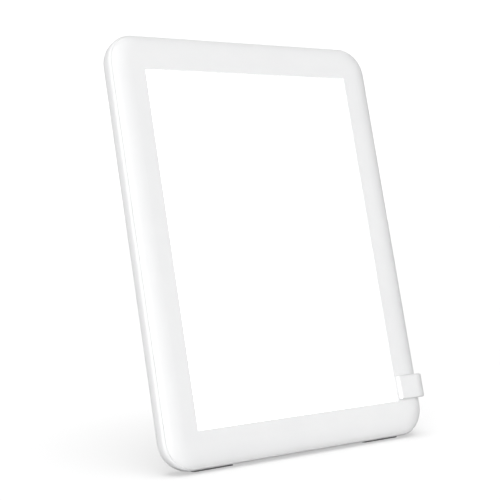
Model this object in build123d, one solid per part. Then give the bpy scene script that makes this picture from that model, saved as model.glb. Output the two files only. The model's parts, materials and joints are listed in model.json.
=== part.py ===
from build123d import *
import math
import os

# Light therapy lamp: a thin edge-lit panel that leans back on a clip-on stand.
# All sizes are in millimetres. The panel is modelled flat: X runs to its right,
# Y up its height and Z out of its front face, with the origin at the centre of
# that face. A depth is a distance behind the front face. place() leans the
# finished pieces back and stands them on the floor, front facing -Y.

# ---- housing ----
WINDOW_WIDTH = 128.2
WINDOW_HEIGHT = 180.2
BEZEL_WIDTH = 18.4
THICKNESS = 13.0
CORNER_RADIUS = 15.0
LEAN = 15.0                     # degrees from upright
FRONT_ROUND_INSET = 10.3        # soft elliptical edge round the front
FRONT_ROUND_DEPTH = 4.6
REAR_ROUND_INSET = 3.7          # longer, flatter ellipse towards the back
REAR_ROUND_DEPTH = 7.8
SEAM_DEPTH = 2.5
SEAM_GAP = 0.25
FACE_WALL = 1.6
BACK_WALL = 1.8
SIDE_WALL = 2.6
BEZEL_BAND = 6.0                # solid band of the bezel outside its hollow
TONGUE_THICKNESS = 1.2
TONGUE_REACH = 1.5
TONGUE_NOTCH_MARGIN = 1.0
FIT = 0.1                       # clearance between parts that locate each other
SIDE_AXIS_FORWARD = 0.7         # socket and button, in front of the side's mid depth
CUT_PAST = 0.5                  # how far a cutting shape runs past the wall it opens
NEAR = 0.01                     # tolerance when an edge or a face is picked by its place
WINDOW_CHAMFER = 0.2

# ---- optical stack, front to back ----
OPTIC_MARGIN = 2.5              # how far the sheets reach under the bezel
GASKET_THICKNESS = 0.4
GASKET_WIDTH = 2.0
DIFFUSER_THICKNESS = 1.2
GUIDE_THICKNESS = 2.5
REFLECTOR_THICKNESS = 0.3
TRAY_THICKNESS = 0.8
TRAY_SIDE_GAP = 0.2
LED_COUNT = 30
LED_LENGTH = 2.8
LED_BREADTH = 1.8
LED_HEIGHT = 0.8
LED_GAP = 0.2
LED_BOARD_THICKNESS = 1.0
LED_BOARD_OVERHANG = 3.6        # solder end of each LED board, past the guide

# ---- screws and bosses of the housing ----
BOSS_RADIUS = 3.2
BOSS_MEET = 5.0                 # depth where bezel boss and cover boss meet
CORNER_SCREW_INSET = 10.8
SIDE_SCREW_INSET = 8.5
SIDE_SCREW_Y = 66.0
SCREW_SHANK_RADIUS = 1.2
SCREW_HEAD_RADIUS = 2.3
SCREW_HEAD_HEIGHT = 1.6
SCREW_SINK = 0.5                # head below the back face
SCREW_BITE = 2.6                # thread length inside the bezel boss
SCREW_CLEARANCE = 0.05
SCREW_TIP_GAP = 0.3             # pilot hole past the screw's tip
SCREW_HEAD_CLEARANCE = 0.3

# ---- ribs inside the rear cover ----
RIB_THICKNESS = 1.2
RIB_COLUMNS = 3
RIB_ROWS = 5
RIB_MARGIN = 14.0

# ---- driver board in the right-hand border ----
BOARD_WIDTH = 9.6
BOARD_THICKNESS = 1.0
BOARD_DEPTH = 3.4
BOARD_BOTTOM = -43.5
BOARD_LENGTH = 100.0
BOARD_POST_RADIUS = 2.2
BOARD_POST_INSET = 7.0
BOARD_SCREW_RADIUS = 0.9
BOARD_SCREW_HEAD = 1.8
BOARD_SCREW_HEAD_HEIGHT = 1.1
BOARD_SCREW_BITE = 4.0
BOARD_HOLE_CLEARANCE = 0.2
CHIP_SIZE = (4.0, 5.0, 1.5)
CHIP_PLACE = 22.0               # places along the board, from its bottom end
INDUCTOR_SIZE = 7.0
INDUCTOR_HEIGHT = 4.5
INDUCTOR_PLACE = 30.0
INDUCTOR_CORE_RADIUS = 2.2
INDUCTOR_GROOVE_RADIUS = 2.9
INDUCTOR_GROOVE_DEPTH = 0.6
CAPACITOR_RADIUS = 2.5
CAPACITOR_LENGTH = 11.0
CAPACITOR_START = 38.0
CONNECTOR_SIZE = (3.6, 5.0, 3.0)
CONNECTOR_INSET = 16.0          # from each end of the board
PASSIVE_SIZE = (1.2, 2.0, 0.6)
PASSIVE_COUNT = 7
PASSIVE_PITCH = 3.4
PASSIVE_INSET = 20.0            # first small chip, from the board's top end
PASSIVE_OFFSET = 1.5            # left of the board's middle line

# ---- power socket, 5.5 mm plug with a 2.1 mm pin ----
SOCKET_Y = -48.5
SOCKET_HOLE_RADIUS = 3.3
SOCKET_BORE_RADIUS = 3.1
SOCKET_BORE_DEPTH = 8.4
SOCKET_WIDTH = 9.0
SOCKET_HEIGHT = 8.2
SOCKET_SNOUT_RADIUS = 3.9
SOCKET_SNOUT_LENGTH = 0.6
SOCKET_END_WALL = 0.9
SOCKET_PIN_RADIUS = 1.0
SOCKET_PIN_RECESS = 1.5
TAB_WIDTH = 1.6
TAB_THICKNESS = 0.4
TAB_COUNT = 3
TAB_PITCH = 2.6
TAB_REACH = 2.4

# ---- power button in the right-hand side ----
BUTTON_Y = 22.0
BUTTON_LENGTH = 9.0
BUTTON_BREADTH = 4.2
BUTTON_PROUD = 0.7
BUTTON_TRAVEL = 0.5
BUTTON_CLEARANCE = 0.15
BUTTON_FLANGE = 1.0
BUTTON_FLANGE_THICKNESS = 0.8
BUTTON_EDGE_ROUND = 0.4
SWITCH_SIZE = (4.2, 6.0, 4.6)
PLUNGER_RADIUS = 1.2
PLUNGER_REACH = 1.4             # plunger outside the switch body
PLUNGER_SINK = 1.0              # plunger inside the switch body
PLUNGER_CLEARANCE = 0.08
PLUNGER_END_GAP = 0.2

# ---- leads from the driver board to the LED boards ----
LEAD_RADIUS = 0.5
LEAD_PITCH = 1.2
LEAD_BEND_RADIUS = 6.0
LEAD_STRAIGHT = 5.0             # straight out of the connector
LEAD_CROSSING = 13.0            # back parallel to the board's edge, past the connector
LEAD_BOARD_GAP = 0.3
LEAD_TRAY_GAP = 0.4

# ---- feet under the bottom edge ----
FOOT_LENGTH = 24.0
FOOT_BREADTH = 4.6
FOOT_X = 54.0
FOOT_PROUD = 0.6
FOOT_SINK = 0.8
FOOT_CLEARANCE = 0.05

# ---- clip-on stand ----
CLIP_BOTTOM = 18.8              # clip above the bottom edge
CLIP_HEIGHT = 12.7
CLIP_THICKNESS = 2.5
CLIP_GAP = 0.3
CLIP_LIP_INSET = 17.1           # lip's end, in from the side of the panel
CLIP_FRONT_INSET = 8.0          # outer rounding at the front of the clip
CLIP_FRONT_DEPTH = 6.0
CLIP_REAR_RADIUS = 6.0
CLIP_EDGE_ROUND = 0.9
PLATE_LEFT = -6.0
PLATE_WIDTH = 76.0
PLATE_BOTTOM = 8.0
PLATE_HEIGHT = 88.0
PLATE_THICKNESS = 3.0
PLATE_CORNER = 8.0
PLATE_EDGE_ROUND = 0.8
RAIL_ROOT = 4.0                 # half widths of the dovetail rail
RAIL_TIP = 5.3
RAIL_HEIGHT = 2.3
RAIL_CLEARANCE = 0.15
RAIL_END_GAP = 0.4
RAIL_INSET = 1.4                # rail's closed end, in from the plate's left edge
GROOVE_WALL = 1.5

# ---- hinge and leg ----
HINGE_HEIGHT = 86.0             # above the bottom edge
HINGE_RADIUS = 3.2
HINGE_STANDOFF = 3.5            # axis behind the plate's back face
PIN_RADIUS = 1.5
PIN_SEAT = 0.02
PIN_RUNNING = 0.05
PIN_CHAMFER = 0.3
EAR_WIDTH = 8.0
EAR_GAP = 0.3
EAR_ROOT = 1.0                  # how far the ears run into the plate
EAR_EDGE_ROUND = 0.6
LEG_WIDTH = 50.0
LEG_THICKNESS = 3.0
LEG_SPLAY = 20.0                # degrees from upright when open
LEG_CORNER = 4.0
LEG_POCKET_DEPTH = 1.2
LEG_RIB = 2.4
LEG_POCKETS = 3
LEG_EDGE_ROUND = 0.6
HEEL_HEIGHT = 8.0
HEEL_WIDTH = 38.0
HEEL_THICKNESS = 2.6
HEEL_GAP = 0.05
FOOT_BAR_LENGTH = 7.0
FOOT_BAR_THICKNESS = 7.0
LEG_PAD_PROUD = 1.0
LEG_PAD_SINK = 0.8
LEG_PAD_BREADTH = 4.6
LEG_PAD_MARGIN = 4.0

# ---- sizes and places that follow ----
WIDTH = WINDOW_WIDTH + 2 * BEZEL_WIDTH
HEIGHT = WINDOW_HEIGHT + 2 * BEZEL_WIDTH
HALF_WIDTH = WIDTH / 2
BOTTOM = -HEIGHT / 2
FLOOR_DEPTH = THICKNESS - BACK_WALL
WALL_X = HALF_WIDTH - SIDE_WALL
COVER_EDGE = SEAM_DEPTH + SEAM_GAP
TONGUE_INSET = SIDE_WALL + FIT
TONGUE_END = SEAM_DEPTH + TONGUE_REACH

GUIDE_WIDTH = WINDOW_WIDTH + 2 * OPTIC_MARGIN
GUIDE_HEIGHT = WINDOW_HEIGHT + 2 * OPTIC_MARGIN
DIFFUSER_DEPTH = FACE_WALL + GASKET_THICKNESS
GUIDE_DEPTH = DIFFUSER_DEPTH + DIFFUSER_THICKNESS
REFLECTOR_DEPTH = GUIDE_DEPTH + GUIDE_THICKNESS
TRAY_DEPTH = REFLECTOR_DEPTH + REFLECTOR_THICKNESS
TRAY_BACK = TRAY_DEPTH + TRAY_THICKNESS
LED_FACE_Y = GUIDE_HEIGHT / 2 + LED_GAP
LED_BOARD_Y = LED_FACE_Y + LED_HEIGHT
TRAY_END_Y = LED_BOARD_Y + LED_BOARD_THICKNESS
TRAY_SIDE_X = GUIDE_WIDTH / 2 + TRAY_SIDE_GAP
LED_BOARD_END_X = GUIDE_WIDTH / 2 + LED_BOARD_OVERHANG

BOARD_BACK = BOARD_DEPTH + BOARD_THICKNESS
BOARD_X = HALF_WIDTH - TONGUE_INSET - TONGUE_THICKNESS - FIT - BOARD_WIDTH / 2
BOARD_LEFT = BOARD_X - BOARD_WIDTH / 2
BOARD_TOP = BOARD_BOTTOM + BOARD_LENGTH
SIDE_AXIS_DEPTH = (TONGUE_END + FLOOR_DEPTH) / 2 - SIDE_AXIS_FORWARD
LEAD_DEPTH = BOARD_BACK + LEAD_RADIUS + LEAD_BOARD_GAP
LEAD_X = TRAY_SIDE_X + TRAY_THICKNESS + LEAD_RADIUS + LEAD_TRAY_GAP

CLIP_Y = BOTTOM + CLIP_BOTTOM + CLIP_HEIGHT / 2
PLATE_FRONT = THICKNESS + CLIP_GAP
PLATE_BACK = PLATE_FRONT + PLATE_THICKNESS
PLATE_X = PLATE_LEFT + PLATE_WIDTH / 2
PLATE_Y = BOTTOM + PLATE_BOTTOM + PLATE_HEIGHT / 2
RAIL_LEFT = PLATE_LEFT + RAIL_INSET
HINGE_Y = BOTTOM + HINGE_HEIGHT
HINGE_DEPTH = PLATE_BACK + HINGE_STANDOFF
LEG_OPEN = LEAN + LEG_SPLAY

LEAN_COS = math.cos(math.radians(LEAN))
LEAN_SIN = math.sin(math.radians(LEAN))
SPLAY_COS = math.cos(math.radians(LEG_SPLAY))
SPLAY_SIN = math.sin(math.radians(LEG_SPLAY))

# The panel's lowest line when it leans is on the rear rounding of its bottom edge.
REST_ANGLE = math.atan2(LEAN_SIN * REAR_ROUND_DEPTH, LEAN_COS * REAR_ROUND_INSET)
REST_Y = BOTTOM + REAR_ROUND_INSET * (1 - math.cos(REST_ANGLE))
REST_DEPTH = THICKNESS - REAR_ROUND_DEPTH * (1 - math.sin(REST_ANGLE))


def height_above(y, depth):
    """Height of a panel point in the leaning panel, from the front face's centre."""
    return LEAN_COS * y - LEAN_SIN * depth


FLOOR_HEIGHT = height_above(REST_Y, REST_DEPTH) - FOOT_PROUD
LEG_REACH = (height_above(HINGE_Y, HINGE_DEPTH) - FLOOR_HEIGHT) / SPLAY_COS


# ---- shared shapes ----

def slab(outline, front, back):
    """Extrude a flat outline between two depths behind the front face."""
    return Pos(0, 0, -back) * extrude(outline, back - front)


def box(x, y, depth):
    """Box from its (low, high) range in X, in Y and in depth."""
    outline = Pos((x[0] + x[1]) / 2, (y[0] + y[1]) / 2) * Rectangle(x[1] - x[0], y[1] - y[0])
    return slab(outline, depth[0], depth[1])


def side_rod(radius, x, y, depth):
    """Round rod along X between two X values."""
    return Pos(x[0], y, -depth) * (Rot(0, 90, 0) * extrude(Circle(radius), x[1] - x[0]))


def inset_outline(inset):
    """The housing's outline, moved inwards."""
    return RectangleRounded(WIDTH - 2 * inset, HEIGHT - 2 * inset, CORNER_RADIUS - inset)


def whole_face():
    """A face larger than the panel, for cutting between two depths."""
    return Rectangle(2 * WIDTH, 2 * HEIGHT)


def edge_profile():
    """Rim section: x is the inset from the side and y is the depth."""
    rear_start = THICKNESS - REAR_ROUND_DEPTH
    return make_face([
        EllipticalCenterArc(
            (FRONT_ROUND_INSET, FRONT_ROUND_DEPTH), FRONT_ROUND_INSET, FRONT_ROUND_DEPTH,
            start_angle=180, arc_size=90,
        ),
        Line((FRONT_ROUND_INSET, 0), (FRONT_ROUND_INSET, THICKNESS)),
        Line((FRONT_ROUND_INSET, THICKNESS), (REAR_ROUND_INSET, THICKNESS)),
        EllipticalCenterArc(
            (REAR_ROUND_INSET, rear_start), REAR_ROUND_INSET, REAR_ROUND_DEPTH,
            start_angle=90, arc_size=90,
        ),
        Line((0, rear_start), (0, FRONT_ROUND_DEPTH)),
    ])


def housing_blank():
    """The whole housing as one solid, its rim section carried round the outline."""
    outline = inset_outline(0).wire()
    inward = Vector(0, 0, 1).cross(outline % 0)
    start = Plane(origin=outline @ 0, x_dir=inward, z_dir=inward.cross(Vector(0, 0, -1)))
    rim = sweep(start * edge_profile(), outline)
    return slab(inset_outline(FRONT_ROUND_INSET), 0, THICKNESS) + rim


def screw_places():
    """Centres of the housing screws: four corners and two on each long side."""
    corner_x = HALF_WIDTH - CORNER_SCREW_INSET
    corner_y = -BOTTOM - CORNER_SCREW_INSET
    side_x = HALF_WIDTH - SIDE_SCREW_INSET
    corners = [(sx * corner_x, sy * corner_y) for sx in (-1, 1) for sy in (-1, 1)]
    sides = [(sx * side_x, sy * SIDE_SCREW_Y) for sx in (-1, 1) for sy in (-1, 1)]
    return corners + sides


def at_places(places, shape):
    """Copies of one shape at a list of (x, y) places."""
    return [Pos(x, y, 0) * shape for x, y in places]


def button_outline(grow):
    """Pill outline of the power button, grown evenly."""
    return SlotOverall(BUTTON_LENGTH + 2 * grow, BUTTON_BREADTH + 2 * grow)


def side_slab(outline, x):
    """Extrude an outline, drawn along Y, between two X values at the side's mid depth."""
    wall = Plane(origin=(x[0], 0, -SIDE_AXIS_DEPTH), x_dir=(0, 1, 0), z_dir=(1, 0, 0))
    return extrude(wall * outline, x[1] - x[0])


# ---- front bezel and the optical stack ----

def front_bezel():
    """Moulded front frame: rounded rim, window, locating tongue and screw bosses."""
    bezel = housing_blank() & slab(whole_face(), 0, SEAM_DEPTH)
    bezel -= slab(inset_outline(BEZEL_BAND), FACE_WALL, SEAM_DEPTH)
    bezel += slab(
        inset_outline(TONGUE_INSET) - inset_outline(TONGUE_INSET + TONGUE_THICKNESS),
        SEAM_DEPTH, TONGUE_END,
    )
    bezel += at_places(screw_places(), slab(Circle(BOSS_RADIUS), FACE_WALL, BOSS_MEET))
    pilot_end = BOSS_MEET - SCREW_BITE - SCREW_TIP_GAP
    pilot = slab(Circle(SCREW_SHANK_RADIUS + SCREW_CLEARANCE), pilot_end, BOSS_MEET)
    bezel -= at_places(screw_places(), pilot)
    bezel -= slab(Rectangle(WINDOW_WIDTH, WINDOW_HEIGHT), 0, SEAM_DEPTH)
    tongue_x = (WALL_X - 2 * TONGUE_THICKNESS, WALL_X)
    for centre, length in ((SOCKET_Y, SOCKET_WIDTH), (BUTTON_Y, BUTTON_LENGTH + 2 * BUTTON_FLANGE)):
        reach = length / 2 + TONGUE_NOTCH_MARGIN
        notch_y = (centre - reach, centre + reach)
        bezel -= box(tongue_x, notch_y, (SEAM_DEPTH, TONGUE_END))
    window_edges = [
        edge for edge in bezel.edges().filter_by_position(Axis.Z, -NEAR, NEAR)
        if max(abs(edge.center().X) - WINDOW_WIDTH / 2, abs(edge.center().Y) - WINDOW_HEIGHT / 2) < NEAR
    ]
    return chamfer(window_edges, WINDOW_CHAMFER)


def window_gasket():
    """Thin foam ring that seats the diffuser behind the bezel."""
    hole_width = GUIDE_WIDTH - 2 * GASKET_WIDTH
    hole_height = GUIDE_HEIGHT - 2 * GASKET_WIDTH
    ring = Rectangle(GUIDE_WIDTH, GUIDE_HEIGHT) - Rectangle(hole_width, hole_height)
    return slab(ring, FACE_WALL, DIFFUSER_DEPTH)


def optic_sheet(front, back):
    """One full-size sheet of the optical stack."""
    return slab(Rectangle(GUIDE_WIDTH, GUIDE_HEIGHT), front, back)


def heat_tray():
    """Folded aluminium tray that holds the stack and cools the LED boards."""
    outer_x = TRAY_SIDE_X + TRAY_THICKNESS
    outer_y = TRAY_END_Y + TRAY_THICKNESS
    tray = slab(Rectangle(2 * outer_x, 2 * outer_y), TRAY_DEPTH, TRAY_BACK)
    for side in (-1, 1):
        end_y = sorted((side * TRAY_END_Y, side * outer_y))
        tray += box((-outer_x, outer_x), end_y, (DIFFUSER_DEPTH + FIT, TRAY_DEPTH))
        side_x = sorted((side * TRAY_SIDE_X, side * outer_x))
        side_y = (-GUIDE_HEIGHT / 2, GUIDE_HEIGHT / 2)
        tray += box(side_x, side_y, (GUIDE_DEPTH, TRAY_DEPTH))
    return tray


def led_board(side):
    """Aluminium-core LED board on one end wall of the tray; side is 1 at the top."""
    y = sorted((side * LED_BOARD_Y, side * TRAY_END_Y))
    return box((-TRAY_SIDE_X, LED_BOARD_END_X), y, (DIFFUSER_DEPTH + FIT, TRAY_DEPTH))


def led_row(side):
    """Row of LED packages that face the edge of the light guide."""
    centre_depth = GUIDE_DEPTH + GUIDE_THICKNESS / 2
    depth = (centre_depth - LED_BREADTH / 2, centre_depth + LED_BREADTH / 2)
    y = sorted((side * LED_FACE_Y, side * LED_BOARD_Y))
    pitch = WINDOW_WIDTH / LED_COUNT
    centres = [(index - (LED_COUNT - 1) / 2) * pitch for index in range(LED_COUNT)]
    return Compound(children=[
        Part(box((x - LED_LENGTH / 2, x + LED_LENGTH / 2), y, depth).wrapped) for x in centres
    ])


# ---- rear cover ----

def groove_outline(clearance):
    """Dovetail section: x is across the rail and y is the depth behind the plate's front."""
    root = RAIL_ROOT + clearance
    tip = RAIL_TIP + clearance
    return Polygon((-root, 0), (-tip, -RAIL_HEIGHT), (tip, -RAIL_HEIGHT), (root, 0), align=None)


def along_rail(outline, x, depth):
    """Carry a section, drawn across the rail, along X from one X value to another."""
    start = Plane(origin=(x[0], CLIP_Y, -depth), x_dir=(0, 1, 0), z_dir=(1, 0, 0))
    return extrude(start * outline, x[1] - x[0])


def rear_cover():
    """Moulded back shell: side walls, floor, bosses, ribs, posts and the stand's groove."""
    cover = housing_blank() & slab(whole_face(), COVER_EDGE, THICKNESS)
    cover -= slab(inset_outline(SIDE_WALL), COVER_EDGE, FLOOR_DEPTH)
    cover += cover_ribs()
    cover += at_places(screw_places(), slab(Circle(BOSS_RADIUS), BOSS_MEET + FIT, FLOOR_DEPTH))
    cover += at_places(board_posts(), slab(Circle(BOARD_POST_RADIUS), BOARD_BACK, FLOOR_DEPTH))
    cover += socket_cradle()
    cover += groove_housing()

    head_seat = THICKNESS - SCREW_SINK - SCREW_HEAD_HEIGHT
    shank_hole = slab(Circle(SCREW_SHANK_RADIUS + SCREW_CLEARANCE), BOSS_MEET, THICKNESS)
    head_hole = slab(Circle(SCREW_HEAD_RADIUS + SCREW_HEAD_CLEARANCE), head_seat, THICKNESS)
    cover -= at_places(screw_places(), shank_hole)
    cover -= at_places(screw_places(), head_hole)
    pilot_end = BOARD_BACK + BOARD_SCREW_BITE
    pilot = slab(Circle(BOARD_SCREW_RADIUS + SCREW_CLEARANCE), BOARD_BACK, pilot_end)
    cover -= at_places(board_posts(), pilot)

    through_side = (WALL_X - CUT_PAST, HALF_WIDTH + CUT_PAST)
    cover -= side_rod(SOCKET_HOLE_RADIUS, through_side, SOCKET_Y, SIDE_AXIS_DEPTH)
    cover -= Pos(0, BUTTON_Y, 0) * side_slab(button_outline(BUTTON_CLEARANCE), through_side)
    groove_x = (RAIL_LEFT - RAIL_END_GAP, HALF_WIDTH + CUT_PAST)
    cover -= along_rail(groove_outline(RAIL_CLEARANCE), groove_x, PLATE_FRONT)
    for pocket in bottom_feet(FOOT_CLEARANCE):
        cover -= pocket
    return cover


def cover_ribs():
    """Grid of ribs on the cover's floor that carries the heat tray."""
    span_x = GUIDE_WIDTH / 2 - RIB_MARGIN
    span_y = GUIDE_HEIGHT / 2 - RIB_MARGIN
    depth = (TRAY_BACK + FIT, FLOOR_DEPTH)
    half = RIB_THICKNESS / 2
    ribs = []
    for column in range(RIB_COLUMNS):
        x = span_x * (2 * column / (RIB_COLUMNS - 1) - 1)
        ribs.append(box((x - half, x + half), (-span_y, span_y), depth))
    for row in range(RIB_ROWS):
        y = span_y * (2 * row / (RIB_ROWS - 1) - 1)
        ribs.append(box((-span_x, span_x), (y - half, y + half), depth))
    return ribs


def groove_housing():
    """Thickened floor round the dovetail groove, run out to the right-hand wall."""
    half = RAIL_TIP + RAIL_CLEARANCE + GROOVE_WALL
    floor = PLATE_FRONT - RAIL_HEIGHT - RAIL_CLEARANCE - GROOVE_WALL
    left = RAIL_LEFT - RAIL_END_GAP - GROOVE_WALL
    return box((left, WALL_X), (CLIP_Y - half, CLIP_Y + half), (floor, FLOOR_DEPTH))


def socket_cradle():
    """Two ribs on the floor that hold the power socket between them."""
    x = (socket_back(), socket_back() + SOCKET_BORE_DEPTH / 2)
    depth = (SIDE_AXIS_DEPTH, FLOOR_DEPTH)
    half = SOCKET_WIDTH / 2 + FIT
    return [
        box(x, sorted((SOCKET_Y + side * half, SOCKET_Y + side * (half + RIB_THICKNESS))), depth)
        for side in (-1, 1)
    ]


def cover_screws():
    """Pan-head screws that pull the rear cover onto the bezel."""
    seat = THICKNESS - SCREW_SINK - SCREW_HEAD_HEIGHT
    shank = slab(Circle(SCREW_SHANK_RADIUS), BOSS_MEET - SCREW_BITE, seat)
    head = slab(Circle(SCREW_HEAD_RADIUS), seat, THICKNESS - SCREW_SINK)
    rim = head.edges().filter_by(GeomType.CIRCLE).sort_by(Axis.Z)[0]
    screw = shank + fillet(rim, SCREW_HEAD_HEIGHT / 3)
    return Compound(children=at_places(screw_places(), screw))


def bottom_feet(grow):
    """The two rubber feet, cut to lie flat on the floor, or grown to cut their pockets."""
    centre = height_above(REST_Y, REST_DEPTH)
    setback = LEAN_COS * REST_DEPTH + LEAN_SIN * REST_Y
    feet = []
    for side in (-1, 1):
        block = Box(
            FOOT_LENGTH + 2 * grow, FOOT_BREADTH + 2 * grow, FOOT_PROUD + FOOT_SINK,
            align=(Align.CENTER, Align.CENTER, Align.MIN),
        )
        block = fillet(block.edges().filter_by(Axis.Z), FOOT_BREADTH / 3)
        upright = Pos(side * FOOT_X, setback, centre - FOOT_PROUD) * block
        feet.append(Rot(LEAN - 90, 0, 0) * upright)
    return feet


# ---- driver board and what it carries ----

def board_posts():
    """Centres of the two posts that carry the driver board."""
    return [(BOARD_X, BOARD_BOTTOM + BOARD_POST_INSET), (BOARD_X, BOARD_TOP - BOARD_POST_INSET)]


def driver_board():
    """Narrow circuit board in the border beside the light guide."""
    x = (BOARD_LEFT, BOARD_LEFT + BOARD_WIDTH)
    board = box(x, (BOARD_BOTTOM, BOARD_TOP), (BOARD_DEPTH, BOARD_BACK))
    hole = slab(Circle(BOARD_SCREW_RADIUS + BOARD_HOLE_CLEARANCE), BOARD_DEPTH, BOARD_BACK)
    return board - at_places(board_posts(), hole)


def board_screws():
    """Small screws that hold the driver board to its posts."""
    tip = BOARD_BACK + BOARD_SCREW_BITE - SCREW_TIP_GAP
    shank = slab(Circle(BOARD_SCREW_RADIUS), BOARD_DEPTH, tip)
    head = slab(Circle(BOARD_SCREW_HEAD), BOARD_DEPTH - BOARD_SCREW_HEAD_HEIGHT, BOARD_DEPTH)
    return Compound(children=at_places(board_posts(), shank + head))


def on_board(size, x, y):
    """Block of a given (width, length, height) that stands on the back of the board."""
    width, length, height = size
    depth = (BOARD_BACK, BOARD_BACK + height)
    return box((x - width / 2, x + width / 2), (y - length / 2, y + length / 2), depth)


def power_inductor():
    """Shielded inductor: a rounded ferrite block with a round core in its top."""
    outline = RectangleRounded(INDUCTOR_SIZE, INDUCTOR_SIZE, INDUCTOR_SIZE / 5)
    top = BOARD_BACK + INDUCTOR_HEIGHT
    body = slab(outline, BOARD_BACK, top)
    ring = Circle(INDUCTOR_GROOVE_RADIUS) - Circle(INDUCTOR_CORE_RADIUS)
    groove = slab(ring, top - INDUCTOR_GROOVE_DEPTH, top)
    return Pos(BOARD_X, BOARD_BOTTOM + INDUCTOR_PLACE, 0) * (body - groove)


def smoothing_capacitor():
    """Electrolytic capacitor that lies on the board."""
    start = BOARD_BOTTOM + CAPACITOR_START
    depth = BOARD_BACK + CAPACITOR_RADIUS
    can = Rot(-90, 0, 0) * extrude(Circle(CAPACITOR_RADIUS), CAPACITOR_LENGTH)
    can = Pos(BOARD_X, start, -depth) * can
    rims = can.edges().filter_by(GeomType.CIRCLE)
    return fillet(rims, CAPACITOR_RADIUS / 6)


def board_chips():
    """Small surface-mount parts in a row along the board."""
    x = BOARD_X - PASSIVE_OFFSET
    start = BOARD_TOP - PASSIVE_INSET
    places = [(x, start - index * PASSIVE_PITCH) for index in range(PASSIVE_COUNT)]
    return Compound(children=[on_board(PASSIVE_SIZE, x, y) for x, y in places])


def connector_places():
    """Centres of the two lead connectors, one near each end of the board."""
    x = BOARD_LEFT + CONNECTOR_SIZE[0] / 2
    return [(x, BOARD_BOTTOM + CONNECTOR_INSET), (x, BOARD_TOP - CONNECTOR_INSET)]


def lead_connectors():
    """Two-pole connectors for the leads to the LED boards."""
    return Compound(children=[on_board(CONNECTOR_SIZE, x, y) for x, y in connector_places()])


def lead(side, pole):
    """One lead from a connector to the solder end of an LED board; pole is 0 or 1."""
    x, y = connector_places()[0 if side < 0 else 1]
    start_x = x + (pole - 0.5) * LEAD_PITCH
    end_x = LEAD_X + pole * LEAD_PITCH
    start_y = y + side * CONNECTOR_SIZE[1] / 2
    points = [
        (start_x, start_y, -LEAD_DEPTH),
        (start_x, start_y + side * LEAD_STRAIGHT, -LEAD_DEPTH),
        (end_x, start_y + side * LEAD_CROSSING, -LEAD_DEPTH),
        (end_x, side * LED_BOARD_Y, -LEAD_DEPTH),
    ]
    route = FilletPolyline(*points, radius=LEAD_BEND_RADIUS)
    section = Plane(origin=route @ 0, z_dir=route % 0) * Circle(LEAD_RADIUS)
    return sweep(section, route)


# ---- power socket ----

def socket_back():
    """X of the power socket's inner end."""
    return WALL_X - FIT / 2 - SOCKET_BORE_DEPTH - SOCKET_END_WALL


def dc_socket():
    """Moulded body of the power socket with its round bore."""
    front = WALL_X - FIT / 2
    y = (SOCKET_Y - SOCKET_WIDTH / 2, SOCKET_Y + SOCKET_WIDTH / 2)
    depth = (SIDE_AXIS_DEPTH - SOCKET_HEIGHT / 2, SIDE_AXIS_DEPTH + SOCKET_HEIGHT / 2)
    body = box((socket_back(), front - SOCKET_SNOUT_LENGTH), y, depth)
    snout_x = (front - SOCKET_SNOUT_LENGTH, front)
    body += side_rod(SOCKET_SNOUT_RADIUS, snout_x, SOCKET_Y, SIDE_AXIS_DEPTH)
    bore_x = (front - SOCKET_BORE_DEPTH, front)
    return body - side_rod(SOCKET_BORE_RADIUS, bore_x, SOCKET_Y, SIDE_AXIS_DEPTH)


def socket_pin():
    """Centre contact of the power socket, with a rounded tip."""
    front = WALL_X - FIT / 2
    x = (front - SOCKET_BORE_DEPTH, front - SOCKET_PIN_RECESS)
    pin = side_rod(SOCKET_PIN_RADIUS, x, SOCKET_Y, SIDE_AXIS_DEPTH)
    tip = pin.edges().filter_by(GeomType.CIRCLE).sort_by(Axis.X)[-1]
    return fillet(tip, SOCKET_PIN_RADIUS * 0.8)


def socket_tabs():
    """Contact tabs that run from the socket onto the back of the driver board."""
    centre_x = socket_back() + SOCKET_BORE_DEPTH / 2
    y = (SOCKET_Y + SOCKET_WIDTH / 2, BOARD_BOTTOM + TAB_REACH)
    depth = (BOARD_BACK, BOARD_BACK + TAB_THICKNESS)
    tabs = []
    for index in range(TAB_COUNT):
        x = centre_x + (index - (TAB_COUNT - 1) / 2) * TAB_PITCH
        tabs.append(box((x - TAB_WIDTH / 2, x + TAB_WIDTH / 2), y, depth))
    return Compound(children=tabs)


# ---- power button and its switch ----

def flange_face_x():
    """X of the button flange's inner face, which the plunger touches."""
    return WALL_X - FIT - BUTTON_FLANGE_THICKNESS


def power_button():
    """Pill-shaped button with an inner flange that keeps it in the wall."""
    stem = side_slab(button_outline(0), (flange_face_x(), HALF_WIDTH + BUTTON_PROUD))
    outer = stem.faces().sort_by(Axis.X)[-1].edges()
    stem = fillet(outer, BUTTON_EDGE_ROUND)
    flange = side_slab(button_outline(BUTTON_FLANGE), (flange_face_x(), WALL_X - FIT))
    return Pos(0, BUTTON_Y, 0) * (stem + flange)


def switch_front_x():
    """X of the switch body's face towards the button."""
    return flange_face_x() - PLUNGER_REACH


def switch_body():
    """Side-push tactile switch on the driver board, with a bore for its plunger."""
    depth_size, length, height = SWITCH_SIZE
    front = switch_front_x()
    y = (BUTTON_Y - length / 2, BUTTON_Y + length / 2)
    body = box((front - depth_size, front), y, (BOARD_BACK, BOARD_BACK + height))
    bore = (front - PLUNGER_SINK - BUTTON_TRAVEL - PLUNGER_END_GAP, front)
    return body - side_rod(PLUNGER_RADIUS + PLUNGER_CLEARANCE, bore, BUTTON_Y, SIDE_AXIS_DEPTH)


def switch_plunger():
    """Plunger between the switch and the button's flange."""
    front = switch_front_x()
    return side_rod(PLUNGER_RADIUS, (front - PLUNGER_SINK, flange_face_x()), BUTTON_Y, SIDE_AXIS_DEPTH)


# ---- stand ----

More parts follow.
